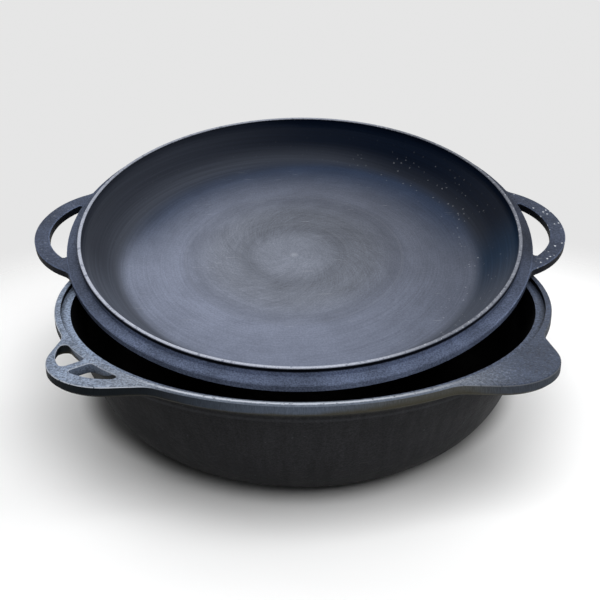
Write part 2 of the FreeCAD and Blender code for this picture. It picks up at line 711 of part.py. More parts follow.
def seated_height(tilt):
    """Height at which the dish just clears the rear half of the mouth."""
    height = RIM_HEIGHT
    for _ in range(PASSES):
        height += (size("seat_gap") - rear_gap(tilt, height)) / math.cos(tilt)
    return height


def seated_tilt():
    """Tilt at which the handles just clear the rim as well."""
    low, high = LEAST_TILT, MOST_TILT
    for _ in range(HALVINGS):
        tilt = (low + high) / 2
        if side_gap(tilt, seated_height(tilt)) > size("seat_gap"):
            low = tilt
        else:
            high = tilt
    return (low + high) / 2


lid_tilt = seated_tilt()
lid_height = seated_height(lid_tilt)
pan.Placement = Placement(
    Vector(-LID_ASIDE, LID_BACK, lid_height),
    Rotation(Vector(1, 0, 0), math.degrees(lid_tilt)),
)
doc.recompute()
print(f"The lid leans at {math.degrees(lid_tilt):.2f} degrees, {lid_height:.2f} mm up.")

# Nothing is written unless every object and both pieces are sound.
for item in doc.Objects:
    if "Invalid" in item.State or "Error" in item.State:
        raise RuntimeError(item.Name + " failed")
os.makedirs("parts", exist_ok=True)
for node in (pot, pan):
    if node.Shape.isNull() or not node.Shape.isValid() or len(node.Shape.Solids) != 1:
        raise RuntimeError(node.Label + " is not one sound solid")
for node in (pot, pan):
    node.Shape.exportStep("parts/" + node.Label + ".step")
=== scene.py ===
import math

import bpy
from bpy.props import FloatProperty, FloatVectorProperty, PointerProperty
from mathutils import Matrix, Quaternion, Vector

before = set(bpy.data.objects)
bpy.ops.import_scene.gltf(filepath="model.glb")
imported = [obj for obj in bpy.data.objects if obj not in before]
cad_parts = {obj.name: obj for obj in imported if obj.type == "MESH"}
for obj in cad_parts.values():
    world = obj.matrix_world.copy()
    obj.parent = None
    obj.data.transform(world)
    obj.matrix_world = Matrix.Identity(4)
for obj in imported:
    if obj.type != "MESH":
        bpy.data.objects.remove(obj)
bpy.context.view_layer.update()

bl_info = {
    "name": "Kazan with a Frying Pan Lid",
    "version": (1, 0, 0),
    "blender": (4, 5, 0),
    "location": "View3D > Sidebar > Kazan",
    "description": "Finishes a cast iron kazan and the frying pan that serves as its lid",
    "category": "Object",
}

# The sand grain of both castings: grains per metre, and how deep and strong they look.
GRAIN = 900.0
GRAIN_DEPTH = 0.0006
GRAIN_STRENGTH = 0.5

# The Mix node's sockets for each kind of value: the factor, the two inputs and the output.
MIX_SOCKETS = {"RGBA": (0, 6, 7, 2), "FLOAT": (0, 2, 3, 0)}

# Each lamp's place, its width in metres and its power in watts. All aim at the pot's foot.
LAMPS = {
    "front": ((0.16, -0.69, 1.09), 1.1, 16.5),
    "rear left": ((-0.7, 0.7, 0.84), 0.9, 6.5),
    "rear right": ((0.5, 0.86, 0.84), 0.9, 5.0),
    "right": ((1.0, 0.0, 0.84), 0.9, 3.5),
}


def length(name, default, description):
    return FloatProperty(
        name=name, default=default, description=description, unit="LENGTH", precision=4
    )


def span(name, default, description):
    """Two places, between which one finish passes into another."""
    return FloatVectorProperty(
        name=name, default=default, description=description, unit="LENGTH", size=2, precision=4
    )


def angle(name, degrees, description):
    return FloatProperty(
        name=name, default=math.radians(degrees), description=description, subtype="ANGLE"
    )


def share(name, default, description):
    return FloatProperty(name=name, default=default, description=description, min=0.0, max=1.0)


def colour(name, default, description):
    return FloatVectorProperty(
        name=name, default=default, description=description,
        subtype="COLOR", size=3, min=0.0, max=1.0,
    )


class KazanPotLooks(bpy.types.PropertyGroup):
    """Places and colours of the pot's own surfaces."""

    rim_top: length("Rim top", 0.096, "Height of the rim above the floor")
    riser: length("Riser", 0.0944, "Height halfway between the ledge and the rim")
    ledge: length("Ledge", 0.0927, "Height of the ledge that the lid's lip drops onto")
    collar_under: length("Collar underside", 0.089, "Height of the collar's lower edge")
    seam: length("Casting seam", 0.0804, "Height of the faint line left by the mould")
    stain_line: length("Stain line", 0.0855, "Height of the faint brown line under the collar")
    rim_radius: length("Rim radius", 0.17, "Outer radius of the rim")
    mouth: length("Mouth radius", 0.1665, "Radius inside which the iron is black")
    ear_turn: angle("Ear turn", 131.5, "Turn of the pierced ears from straight back")
    ear_reach: length("Ear reach", 0.0265, "How far the windows reach from the ear's middle")
    windows: span("Windows", (0.169, 0.1885), "How far out the windows start and end")

    # Painted shade: the wall is painted darker towards its foot, near the floor.
    foot: span("Foot", (0.0, 0.055), "Heights over which the dark foot passes into the wall")
    # Painted light and shade: the wall is painted darker on the left and lighter towards the
    # right.
    painted_side_light: span("Lighter wall", (-0.15, 0.0), "Where the wall turns lighter, from the left")
    worn_wall: span("Worn wall", (0.06, 0.12), "Where the scratches start, on the right")
    worn_height: span("Worn height", (0.05, 0.08), "Heights over which the scratches start")
    blue_end: span("Blued iron", (-0.15, -0.06), "Where the blued iron on the left ends")
    # Painted shade: from here towards the right the ground tops are painted darker.
    shaded_top_start: span("Oiled iron", (0.055, 0.13), "Where the thicker oil on the right starts")
    # Painted highlight: where the bevel's painted highlight turns dimmer, towards the right.
    dim_edge: span("Dimmer edge", (0.02, 0.08), "Where the bright edge turns dimmer")
    plain_front: span("Turned rim", (0.07, 0.1), "How far to each side the turned rim reaches")
    # Painted shade: the collar's face is painted dark on the left, away from the light.
    collar_shade: span("Oiled collar", (-0.1, 0.005), "Where the collar's oil on the left ends")
    olive_start: span("Olive collar", (0.0, 0.07), "Where the collar turns olive")
    bare_start: span("Bare collar", (0.085, 0.12), "Where the right ear's bare side starts")
    stain_start: span("Stain start", (-0.05, 0.08), "Where the collar's brown edge grows wide")
    stain_end: span("Stain end", (0.08, 0.11), "Where it is narrow again")
    thin_stain: span("Narrow stain", (0.0012, 0.004), "Heights over which the narrow edge ends")
    wide_stain: span("Wide stain", (0.0028, 0.0078), "Heights over which the wide edge ends")
    bright_line: length("Bright line", 0.1678, "Radius of the bright line on the turned rim")
    line_in: span("Inside the line", (0.1664, 0.1672), "Where the rim turns pale from inside")
    line_out: span("Outside the line", (0.1686, 0.1692), "Where it passes into the collar")
    shelf_end: span("Ledge shade", (0.1615, 0.1655), "Where the ledge darkens to the riser")

    wall: colour("Wall", (0.0165, 0.0168, 0.0185), "Seasoned outside of the bowl")
    # Seasoned black iron, painted near black as the shade inside the covered pot.
    inside: colour("Inside", (0.0004, 0.0004, 0.0006), "Black seasoned inside")
    top: colour("Rim and ears", (0.225, 0.25, 0.295), "Ground top of the rim and the ears")
    blue_top: colour("Blued top", (0.165, 0.205, 0.28), "The same where the iron is blued")
    # Painted shade: the ground tops' colour where they are painted darker, on the right and on the
    # ledge.
    shaded_top: colour("Oiled top", (0.044, 0.056, 0.086), "The same under a thicker film of oil")
    # Also the colour of the painted highlight on the rim's outer bevel.
    edge: colour("Worn edge", (0.42, 0.45, 0.51), "Bright line along the rim's outer edge")
    collar: colour("Collar", (0.072, 0.088, 0.117), "Upright face of the collar")
    # Painted shade: the collar's face where it is painted dark.
    shaded_collar: colour("Oiled face", (0.006, 0.008, 0.01), "The same under a film of oil")
    olive_collar: colour("Olive face", (0.06, 0.061, 0.056), "The same where it is stained")
    bare_collar: colour("Bare face", (0.042, 0.049, 0.062), "Upright face of the right ear")
    window: colour("Window walls", (0.075, 0.095, 0.135), "Walls of the windows in the ears")
    rust: colour("Collar edge", (0.045, 0.042, 0.031), "Brown film along the collar's lower edge")
    stain: colour("Stain", (0.4, 0.38, 0.3), "Faint brown line on the wall under the collar")
    pits: colour("Pits", (0.03, 0.034, 0.045), "Dark pits in the ground top")
    gloss: share("Gloss", 0.035, "How strongly the seasoned iron reflects")


class KazanPanLooks(bpy.types.PropertyGroup):
    """Places and colours of the lid pan, in its own leaning frame."""

    setback: length("Setback", 0.0746, "How far behind the pot's middle the pan's middle is")
    aside: length("Aside", 0.0021, "How far to the left of the pot's middle it is")
    height: length("Height", 0.09119, "Height of the pan's underside at its middle")
    lean: angle("Lean", 15.88, "How far the pan leans back")
    skin: length("Middle of the skin", 0.00325, "Half the thickness of the floor")
    skin_rise: length("Rise of the skin", 0.135, "Radius less height in the middle of the wall")
    crease: length("Crease radius", 0.1384, "Radius where the floor meets the wall")
    lip: length("Lip radius", 0.1652, "Outer radius of the raised lip")
    lip_width: length("Lip width", 0.0028, "Thickness of the raised lip")
    lip_top: length("Lip top", 0.0357, "Height of the lip above the pan's underside")
    flange: length("Flange radius", 0.1734, "Outer radius of the flange")
    flange_top: length("Flange top", 0.0291, "Height of the flange above the underside")
    handle_top: length("Handle top", 0.0281, "Height of the handles above the underside")
    ring_one: length("Inner ring", 0.042, "Radius of the smaller ring turned into the floor")
    ring_two: length("Outer ring", 0.083, "Radius of the larger ring turned into the floor")
    mark_aside: length("Mark aside", 0.0045, "How far to the left the rings are centred")
    mark_front: length("Mark front", 0.003, "How far to the front the rings are centred")

    right: span("Right side", (0.02, 0.1), "Where the oilier right side starts")
    # This mask also sets how strongly the painted shade covers the floor's rear part.
    behind: span("Rear part", (-0.03, 0.06), "Where the oilier rear part starts")
    sharp_edge: span("Sharp edge", (-0.06, 0.05), "Where the rear edge of the floor is sharp")
    front_turn: length("Front turn", 0.008, "How softly the floor's front turns up")
    sharp_turn: length("Sharp turn", 0.01, "How softly the sharp rear edge turns up")
    soft_turn: length("Soft turn", 0.022, "How softly the rest of the rear edge turns up")
    # Painted light: where the inner wall's painted light on the left ends.
    lit_wall_end: span("Thin film", (-0.15, 0.02), "Where the wall's thin film on the left ends")
    blue_start: span("Blued wall", (0.1, 0.15), "Where the blued wall on the right starts")
    blue_back: span("Rear of the blue", (-0.03, 0.03), "Where the blued wall ends at the rear")
    pale_front: span("Pale front", (-0.085, -0.01), "Where the wall's pale front ends")
    oil_side: span("Oiled flange", (0.11, 0.15), "Where the flange's oil on the right starts")
    oil_front: span("Front of the oil", (-0.08, -0.02), "Where it starts from the front")
    flange_front: span("Flange front", (-0.15, -0.06), "Where the flange's pale front ends")
    round_front: span("Rounded front", (-0.14, -0.05), "Where its pale rounded side ends")
    # Painted highlight: where the bevels' painted highlight starts, from the front.
    bevel_front: span("Bevel front", (-0.14, -0.09), "Where the bright bevels start")

    floor: colour("Cooking surface", (0.143, 0.16, 0.212), "Turned and oiled floor")
    centre: colour("Middle of the floor", (0.136, 0.149, 0.183), "Browner iron in the middle")
    # Painted shade: the dark colour painted over the floor's rear part, near the wall.
    film: colour("Film of oil", (0.016, 0.0275, 0.056), "Dark film over the floor's rear part")
    # Painted shade: the inner wall is painted much darker than the floor of the same iron.
    wall: colour("Inner wall", (0.001, 0.0033, 0.0095), "Dark seasoned wall")
    # Painted light: the inner wall on the left, painted paler as if lit from the right.
    lit_wall: colour("Paler wall", (0.021, 0.0245, 0.034), "The same where the film is thin")
    blue_wall: colour("Blued iron", (0.007, 0.019, 0.041), "The same where the iron is blued")
    pale_crease: colour("Paler crease", (0.058, 0.066, 0.086), "Where the floor turns up")
    cast: colour("Flange", (0.05, 0.062, 0.096), "Flange and handles")
    # Painted shade: the colour of upright sides, darker than the lit tops of the same iron.
    side: colour("Sides", (0.004, 0.005, 0.008), "Upright sides of the lip and the handles")
    worn: colour("Worn iron", (0.31, 0.33, 0.39), "Bare iron along the lip's edge")
    chip: colour("Chips", (0.6, 0.63, 0.68), "Bright chips and scratches")
    under: colour("Underside", (0.012, 0.0125, 0.014), "Seasoned outside")
    gloss: share("Gloss", 0.03, "How strongly the turned iron reflects")


class KazanStageLooks(bpy.types.PropertyGroup):
    """The camera, the floor and the light."""

    camera_back: length("Camera distance", 0.63167, "How far in front of the pot it stands")
    camera_height: length("Camera height", 0.34786, "Height of the camera above the floor")
    aim_height: length("Aim height", 0.08776, "Height above the floor that it looks at")
    aim_side: length("Aim side", -0.00198, "How far to the right of the middle it looks")
    roll: angle("Roll", -0.33, "Turn of the camera about its own axis")
    lens: FloatProperty(name="Lens", default=58.13, description="Focal length in millimetres")
    frame_width: FloatProperty(
        name="Frame width", default=36.0, description="Width of the frame in millimetres"
    )
    floor_radius: length("Floor radius", 0.49, "Where the floor has faded into the backdrop")
    floor_fade: length("Floor fade", 0.22, "Width of the fade at the floor's edge")
    # Painted shadow: a deep shade painted on the floor under the pot, and a fainter one round it.
    shade_width: length("Shade width", 0.163, "Half width of the deep shade under the pot")
    shade_depth: length("Shade depth", 0.15, "The same from front to back")
    shade_aside: length("Shade aside", 0.005, "How far to the left the shade is")
    shade_back: length("Shade back", 0.05, "How far back the shade is")
    shade_end: span("Shade end", (0.04, 0.12), "Where the shade ends towards the rear")
    white: colour("Floor", (0.96, 0.96, 0.96), "White floor")
    faint_painted_shadow: colour("Floor near the pot", (0.82, 0.82, 0.82), "The same round the pot")
    painted_shadow: colour("Shaded floor", (0.11, 0.11, 0.11), "The same right under the pot")
    daylight: colour("Daylight", (0.96, 0.98, 1.0), "Colour of the even light")
    ambient: share("Ambient light", 0.12, "Strength of the even light from all sides")
    backdrop: share("Backdrop", 0.79, "Brightness of the pale grey backdrop")


class Graph:
    """Adds nodes to a tree. Each input is a value or another node's output."""

    def __init__(self, tree):
        self.tree = tree

    def feed(self, socket, value):
        if isinstance(value, bpy.types.NodeSocket):
            self.tree.links.new(value, socket)
        elif hasattr(socket.default_value, "__len__") and len(socket.default_value) == 4:
            socket.default_value = (*value[:3], 1.0)
        else:
            socket.default_value = value

    def node(self, kind, inputs=None, **settings):
        made = self.tree.nodes.new("ShaderNode" + kind)
        for name, value in settings.items():
            setattr(made, name, value)
        for name, value in (inputs or {}).items():
            self.feed(made.inputs[name], value)
        return made

    def math(self, operation, *values):
        return self.node("Math", dict(enumerate(values)), operation=operation).outputs[0]

    def plus(self, one, two):
        return self.math("ADD", one, two)

    def minus(self, one, two):
        return self.math("SUBTRACT", one, two)

    def over(self, one, two):
        return self.math("DIVIDE", one, two)

    def most(self, one, two):
        """The larger of the two."""
        return self.math("MAXIMUM", one, two)

    def unsigned(self, value):
        return self.math("ABSOLUTE", value)

    def above(self, value, limit):
        """1 where the value is above the limit and 0 elsewhere."""
        return self.math("GREATER_THAN", value, limit)

    def below(self, value, limit):
        """1 where the value is below the limit and 0 elsewhere."""
        return self.math("LESS_THAN", value, limit)

    def times(self, *values):
        """All the values multiplied together."""
        product = values[0]
        for value in values[1:]:
            product = self.math("MULTIPLY", product, value)
        return product

    def without(self, value):
        return self.minus(1.0, value)

    def step(self, value, low, high):
        """0 below low, 1 above high and smooth between them."""
        made = self.node("MapRange", {"Value": value, "From Min": low, "From Max": high})
        made.interpolation_type = "SMOOTHSTEP"
        return made.outputs["Result"]

    def fall(self, value, low, high):
        """1 below low, 0 above high and smooth between them."""
        return self.without(self.step(value, low, high))

    def band(self, value, middle, half, soft):
        """1 within half of the middle, fading to 0 over soft."""
        return self.fall(self.unsigned(self.minus(value, middle)), half, half + soft)

    def mix(self, factor, one, two, kind="RGBA"):
        """The first colour at factor 0 and the second at factor 1."""
        made = self.node("Mix", data_type=kind)
        *inputs, result = MIX_SOCKETS[kind]
        for index, value in zip(inputs, (factor, one, two)):
            self.feed(made.inputs[index], value)
        return made.outputs[result]

    def blend(self, factor, one, two):
        """The same for plain values."""
        return self.mix(factor, one, two, "FLOAT")

    def vary(self, factor, base, low, high):
        """A colour between two shades of itself."""
        return self.mix(factor, [c * low for c in base], [c * high for c in base])

    def vary_colour(self, base, factor, low, high):
        """The same for a colour that comes out of another node."""
        scale = self.blend(factor, low, high)
        made = self.node("VectorMath", {0: base, "Scale": scale}, operation="SCALE")
        return made.outputs[0]

    def vector(self, x, y, z):
        return self.node("CombineXYZ", {"X": x, "Y": y, "Z": z}).outputs[0]

    def axes(self, vector):
        """The three parts of a vector, named X, Y and Z."""
        return self.node("SeparateXYZ", {0: vector}).outputs

    def moved(self, vector, shift):
        return self.node("VectorMath", {0: vector, 1: shift}, operation="ADD").outputs[0]

    def noise(self, vector, scale, detail=3.0, roughness=0.55):
        inputs = {"Vector": vector, "Scale": scale, "Detail": detail, "Roughness": roughness}
        return self.node("TexNoise", inputs).outputs["Fac"]

    def upright_noise(self, spot, around, up, roughness):
        """Marks that stand upright all round a piece, finer around it than up it."""
        place = self.vector(
            self.times(spot["Out X"], around),
            self.times(spot["Out Y"], around),
            self.times(spot["Height"], up),
        )
        return self.noise(place, 1.0, detail=4.0, roughness=roughness)


def new_group(name, inputs, outputs):
    """An empty node group with its sockets, and a graph to fill it."""
    group = bpy.data.node_groups.new(name, "ShaderNodeTree")
    for label, kind in inputs.items():
        group.interface.new_socket(label, in_out="INPUT", socket_type="NodeSocket" + kind)
    for label, kind in outputs.items():
        group.interface.new_socket(label, in_out="OUTPUT", socket_type="NodeSocket" + kind)
    entry = group.nodes.new("NodeGroupInput")
    leave = group.nodes.new("NodeGroupOutput")
    return Graph(group), entry.outputs, leave.inputs


def round_place_group():
    """Radius, height and direction of a point about an upright axis."""
    names = ("Radius", "Angle", "Height", "X", "Y", "Out X", "Out Y")
    outputs = {name: "Float" for name in names}
    graph, entry, leave = new_group("Round place", {"Place": "Vector"}, outputs)
    x, y, z = graph.axes(entry["Place"])
    radius = graph.math("SQRT", graph.plus(graph.times(x, x), graph.times(y, y)))
    angle_round = graph.math("ARCTAN2", y, x)
    least = 0.0001
    safe = graph.most(radius, least)
    values = (radius, angle_round, z, x, y, graph.over(x, safe), graph.over(y, safe))
    for name, value in zip(names, values):
        graph.feed(leave[name], value)
    return graph.tree


def cast_grain_group():
    """Sand grain of a casting: a height for the bump, and light and dark speckle."""
    graph, entry, leave = new_group(
        "Cast grain",
        {"Place": "Vector", "Fineness": "Float"},
        {"Height": "Float", "Speckle": "Float", "Mottle": "Float"},
    )
    place, fineness = entry["Place"], entry["Fineness"]
    fine = graph.noise(place, fineness, detail=2.0, roughness=0.6)
    coarse = graph.noise(place, graph.times(fineness, 0.28), detail=2.0, roughness=0.5)
    wide = graph.noise(place, graph.times(fineness, 0.035), detail=4.0, roughness=0.6)
    graph.feed(leave["Height"], graph.plus(graph.times(fine, 0.6), graph.times(coarse, 0.8)))
    graph.feed(leave["Speckle"], graph.step(fine, 0.3, 0.72))
    graph.feed(leave["Mottle"], graph.step(wide, 0.3, 0.7))
    return graph.tree


def flecks_group():
    """Sparse small chips where the dark film has come off."""
    graph, entry, leave = new_group(
        "Flecks",
        {"Place": "Vector", "Spacing": "Float", "Size": "Float", "Share": "Float"},
        {"Mask": "Float"},
    )
    shake = graph.node("TexNoise", {"Vector": entry["Place"], "Scale": 1300.0}).outputs["Color"]
    ragged = (0.0022,) * 3
    place = graph.node(
        "VectorMath", {0: shake, 1: ragged, 2: entry["Place"]}, operation="MULTIPLY_ADD"
    ).outputs[0]
    cells = graph.node(
        "TexVoronoi", {"Vector": place, "Scale": graph.over(1.0, entry["Spacing"])}
    ).outputs
    reach = graph.over(entry["Size"], entry["Spacing"])
    near = graph.fall(cells["Distance"], graph.times(reach, 0.4), reach)
    pick = graph.node("SeparateColor", {0: cells["Color"]}).outputs[0]
    graph.feed(leave["Mask"], graph.times(near, graph.below(pick, entry["Share"])))
    return graph.tree


def turned_marks_group():
    """Marks of a lathe: fine rings, and streaks that fan out from the middle."""
    graph, entry, leave = new_group(
        "Turned marks",
        {"Radius": "Float", "Angle": "Float", "Out X": "Float", "Out Y": "Float"},
        {"Rings": "Float", "Streaks": "Float", "Swirl": "Float"},
    )
    radius = entry["Radius"]
    around = graph.vector(entry["Out X"], entry["Out Y"], graph.times(radius, 900.0))
    graph.feed(leave["Rings"], graph.noise(around, 1.0, detail=4.0, roughness=0.65))
    for name, turns, fine, along in (
        ("Streaks", 24.0, 95.0, 110.0),
        ("Swirl", 26.0, 4.0, 26.0),
    ):
        twisted = graph.plus(entry["Angle"], graph.times(radius, turns))
        fan = graph.vector(
            graph.times(graph.math("COSINE", twisted), fine),
            graph.times(graph.math("SINE", twisted), fine),
            graph.times(radius, along),
        )
        graph.feed(leave[name], graph.noise(fan, 1.0, detail=4.0, roughness=0.7))
    return graph.tree


def scratches_group():
    """A few long fine scratches in two directions, each in patches of its own."""
    graph, entry, leave = new_group("Scratches", {"Place": "Vector"}, {"Mask": "Float"})
    lines = []
    for turn in (0.5, 2.2):
        inputs = {
            "Vector": entry["Place"], "Rotation": (0.0, 0.0, turn), "Scale": (45.0, 1400.0, 45.0)
        }
        laid = graph.node("Mapping", inputs).outputs[0]
        streak = graph.noise(laid, 1.0, detail=1.0, roughness=0.4)
        patch = graph.noise(entry["Place"], 30.0 + 9.0 * turn, detail=2.0, roughness=0.5)
        lines.append(graph.times(graph.step(streak, 0.74, 0.8), graph.step(patch, 0.52, 0.62)))
    graph.feed(leave["Mask"], graph.most(*lines))
    return graph.tree


BUILT = {}


def use_group(graph, maker, inputs):
    """Places a shared group, which its maker builds the first time."""
    if maker not in BUILT:
        BUILT[maker] = maker()
    made = graph.node("Group", node_tree=BUILT[maker])
    for name, value in inputs.items():
        graph.feed(made.inputs[name], value)
    return made.outputs


def flecks(graph, place, spacing, size, portion):
    """Chips of this size in this portion of the cells, which lie this far apart."""
    inputs = {"Place": place, "Spacing": spacing, "Size": size, "Share": portion}
    return use_group(graph, flecks_group, inputs)["Mask"]


def scratches(graph, place):
    return use_group(graph, scratches_group, {"Place": place})["Mask"]


def new_material(name, gloss):
    material = bpy.data.materials.new(name)
    material.use_nodes = True
    shader = material.node_tree.nodes["Principled BSDF"]
    shader.inputs["Specular IOR Level"].default_value = gloss
    return material, Graph(material.node_tree), shader


def shade(graph, shader, base, roughness, height):
    graph.feed(shader.inputs["Base Color"], base)
    graph.feed(shader.inputs["Roughness"], roughness)
    inputs = {"Height": height, "Strength": GRAIN_STRENGTH, "Distance": GRAIN_DEPTH}
    graph.feed(shader.inputs["Normal"], graph.node("Bump", inputs).outputs[0])


def give_material(node, material):
    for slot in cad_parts[node].material_slots:
        slot.material = material


class KAZAN_OT_pot(bpy.types.Operator):
    """Gives the pot its seasoned wall, black inside and ground rim and ears"""

    bl_idname = "kazan.pot"
    bl_label = "Finish the Pot"

    def execute(self, context):
        looks = context.scene.kazan_pot
        material, graph, shader = new_material("Seasoned cast iron", looks.gloss)
        where = graph.node("TexCoord").outputs
        place = where["Object"]
        spot = use_group(graph, round_place_group, {"Place": place})
        grain = use_group(graph, cast_grain_group, {"Place": place, "Fineness": GRAIN})
        parts = self.parts(graph, looks, spot, graph.axes(where["Normal"]))

        base = self.wall(graph, looks, spot, place, grain)
        for part, finish in (
            ("collar", self.collar(graph, looks, spot, grain)),
            ("window", self.window(graph, looks, spot, grain)),
            ("top", self.top(graph, looks, spot, place, grain, parts)),
            # The inside is painted near black: seasoned iron with painted shade.
            ("inside", graph.vary(grain["Mottle"], looks.inside, 0.7, 1.4)),
        ):
            base = graph.mix(parts[part], base, finish)
        seasoned = graph.blend(grain["Mottle"], 0.5, 0.62)
        ground = graph.blend(grain["Speckle"], 0.42, 0.55)
        roughness = graph.blend(parts["top"], seasoned, ground)
        shade(graph, shader, base, roughness, grain["Height"])
        give_material("kazan_pot", material)
        return {"FINISHED"}

    def parts(self, graph, looks, spot, facing):
        """Where each kind of surface is: 1 on it and 0 elsewhere."""
        outward = graph.plus(
            graph.times(spot["Out X"], facing["X"]), graph.times(spot["Out Y"], facing["Y"])
        )
        level = graph.step(facing["Z"], 0.5, 0.65)
        high = graph.step(spot["Height"], looks.ledge - 0.0012, looks.ledge - 0.0002)
        hollow = graph.most(graph.below(outward, -0.05), graph.times(level, graph.without(high)))
        ear_x, ear_y = -math.sin(looks.ear_turn), math.cos(looks.ear_turn)
        along = graph.unsigned(
            graph.plus(graph.times(spot["X"], ear_x), graph.times(spot["Y"], ear_y))
        )
        across = graph.unsigned(
            graph.minus(graph.times(spot["Y"], ear_x), graph.times(spot["X"], ear_y))
        )
        near, far = looks.windows
        under = looks.collar_under
        return {
            "top": graph.times(level, high),
            "ledge": graph.below(spot["Height"], looks.riser),
            "bevel": graph.band(facing["Z"], 0.707, 0.08, 0.06),
            "front": graph.times(
                graph.fall(graph.unsigned(spot["X"]), *looks.plain_front),
                graph.below(spot["Y"], 0.0),
            ),
            "collar": graph.step(spot["Height"], under - 0.0006, under + 0.0002),
            "inside": graph.times(hollow, graph.below(spot["Radius"], looks.mouth)),
            "window": graph.times(
                graph.below(across, looks.ear_reach),
                graph.above(along, near),
                graph.below(along, far),
            ),
        }

    def wall(self, graph, looks, spot, place, grain):
        """Faint upright streaks, worn on the right, with painted shade on the left and at the
        foot.
        """
        streaks = graph.upright_noise(spot, 34.0, 40.0, 0.6)
        wall = graph.vary(graph.step(streaks, 0.25, 0.75), looks.wall, 0.8, 1.2)
        wall = graph.vary_colour(wall, grain["Speckle"], 0.72, 1.25)
        # Painted light and shade: darker on the left, lighter on the right.
        wall = graph.vary_colour(wall, graph.step(spot["X"], *looks.painted_side_light), 0.4, 1.12)
        # Painted shade: darker towards the foot.
        wall = graph.vary_colour(wall, graph.step(spot["Height"], *looks.foot), 0.3, 1.0)
        chips = flecks(graph, place, spacing=0.007, size=0.0007, portion=0.4)
        wall = graph.mix(graph.times(chips, 0.12), wall, looks.top)
        worn = graph.times(
            graph.step(spot["X"], *looks.worn_wall), graph.step(spot["Height"], *looks.worn_height)
        )
        lines = graph.times(scratches(graph, place), graph.blend(worn, 0.02, 0.3))
        wall = graph.mix(lines, wall, looks.edge)
        seam = graph.band(spot["Height"], looks.seam, 0.0004, 0.0012)
        wall = graph.mix(graph.times(seam, 0.025), wall, looks.edge)
        brown = graph.band(spot["Height"], looks.stain_line, 0.0006, 0.002)
        return graph.mix(graph.times(brown, 0.07), wall, looks.stain)

    def window(self, graph, looks, spot, grain):
        """Painted shade: darker further down the windows, lighter towards the top."""
        rise = graph.step(spot["Height"], looks.rim_top - 0.0085, looks.rim_top - 0.001)
        walls = graph.vary(grain["Speckle"], looks.window, 0.6, 1.4)
        # Painted shade, darker further down the window.
        return graph.vary_colour(walls, rise, 0.25, 1.25)

    def collar(self, graph, looks, spot, grain):
        """Ground across: fine upright marks, painted shade on the left, and a ragged brown lower
        edge.
        """
        marks = graph.upright_noise(spot, 420.0, 260.0, 0.7)
        # Painted shade: the collar is painted dark on the left, and its brown edge dimmer there.
        oiled = graph.fall(spot["X"], *looks.collar_shade)
        face = graph.mix(oiled, looks.collar, looks.shaded_collar)
        face = graph.mix(graph.step(spot["X"], *looks.olive_start), face, looks.olive_collar)
        face = graph.mix(graph.step(spot["X"], *looks.bare_start), face, looks.bare_collar)
        face = graph.vary_colour(face, graph.step(marks, 0.3, 0.7), 0.75, 1.25)

        stained = graph.times(
            graph.step(spot["X"], *looks.stain_start), graph.fall(spot["X"], *looks.stain_end)
        )
        ragged = graph.times(graph.plus(grain["Mottle"], marks), 0.0016)
        ends = [
            graph.blend(stained, looks.collar_under + thin, looks.collar_under + wide)
            for thin, wide in zip(looks.thin_stain, looks.wide_stain)
        ]
        rise = graph.step(graph.plus(spot["Height"], ragged), *ends)
        brown = graph.vary_colour(looks.rust, graph.without(oiled), 0.45, 1.0)
        return graph.mix(rise, brown, face)

    def top(self, graph, looks, spot, place, grain, parts):
        """Ground top: small dark pits, painted shade on the right, a painted highlight on the worn
        outer edge and the ledge inside it.
        """
        pits = graph.noise(place, 560.0, detail=4.0, roughness=0.75)
        # Painted shade: the tops are painted darker on the right, with fewer bright specks and a
        # dimmer edge.
        oiled = graph.step(spot["X"], *looks.shaded_top_start)
        blued = graph.fall(spot["X"], *looks.blue_end)
        top = graph.mix(blued, graph.mix(oiled, looks.top, looks.shaded_top), looks.blue_top)
        top = graph.vary_colour(top, grain["Speckle"], 0.6, 1.4)
        rough = graph.blend(blued, graph.blend(oiled, 0.3, 0.35), 0.7)
        top = graph.mix(graph.times(graph.step(pits, 0.52, 0.6), rough), top, looks.pits)
        shine = graph.times(graph.fall(pits, 0.36, 0.42), graph.blend(oiled, 0.5, 0.12))
        top = graph.mix(shine, top, looks.edge)
        top = graph.vary_colour(top, grain["Mottle"], 0.78, 1.18)
        top = self.highlight_and_turned_line(graph, looks, spot, place, parts, oiled, top)

        # The ledge takes the tops' painted shade, except where the iron is blued.
        shelf = graph.mix(blued, looks.shaded_top, looks.blue_top)
        shelf = graph.vary_colour(shelf, graph.step(pits, 0.4, 0.6), 1.35, 0.5)
        riser = graph.step(spot["Radius"], *looks.shelf_end)
        shelf = graph.vary_colour(shelf, riser, 1.15, 0.5)
        return graph.mix(parts["ledge"], top, shelf)

    def highlight_and_turned_line(self, graph, looks, spot, place, parts, oiled, top):
        """A painted highlight on the worn outer bevel, dimmer on the right, which is a thin turned
        line along the front.
        """
        nicks = graph.step(graph.noise(place, 420.0, detail=2.0, roughness=0.5), 0.62, 0.68)
        edge = graph.mix(graph.times(nicks, 0.85), looks.edge, looks.pits)
        edge = graph.vary_colour(edge, oiled, 1.0, 0.35)
        edge = graph.vary_colour(edge, graph.step(spot["X"], *looks.dim_edge), 1.0, 0.55)
        # Painted highlight on the outer bevel, except along the front.
        bevel = graph.times(parts["bevel"], graph.blend(parts["front"], 0.85, 0.0))
        top = graph.mix(bevel, top, edge)
        radius = spot["Radius"]
        for ring, amount, finish in (
            (graph.band(radius, looks.bright_line, 0.0005, 0.0005), 0.85, edge),
            (graph.fall(radius, *looks.line_in), 0.55, looks.pits),
            (graph.step(radius, *looks.line_out), 0.8, looks.collar),
        ):
            top = graph.mix(graph.times(ring, parts["front"], amount), top, finish)
        return top


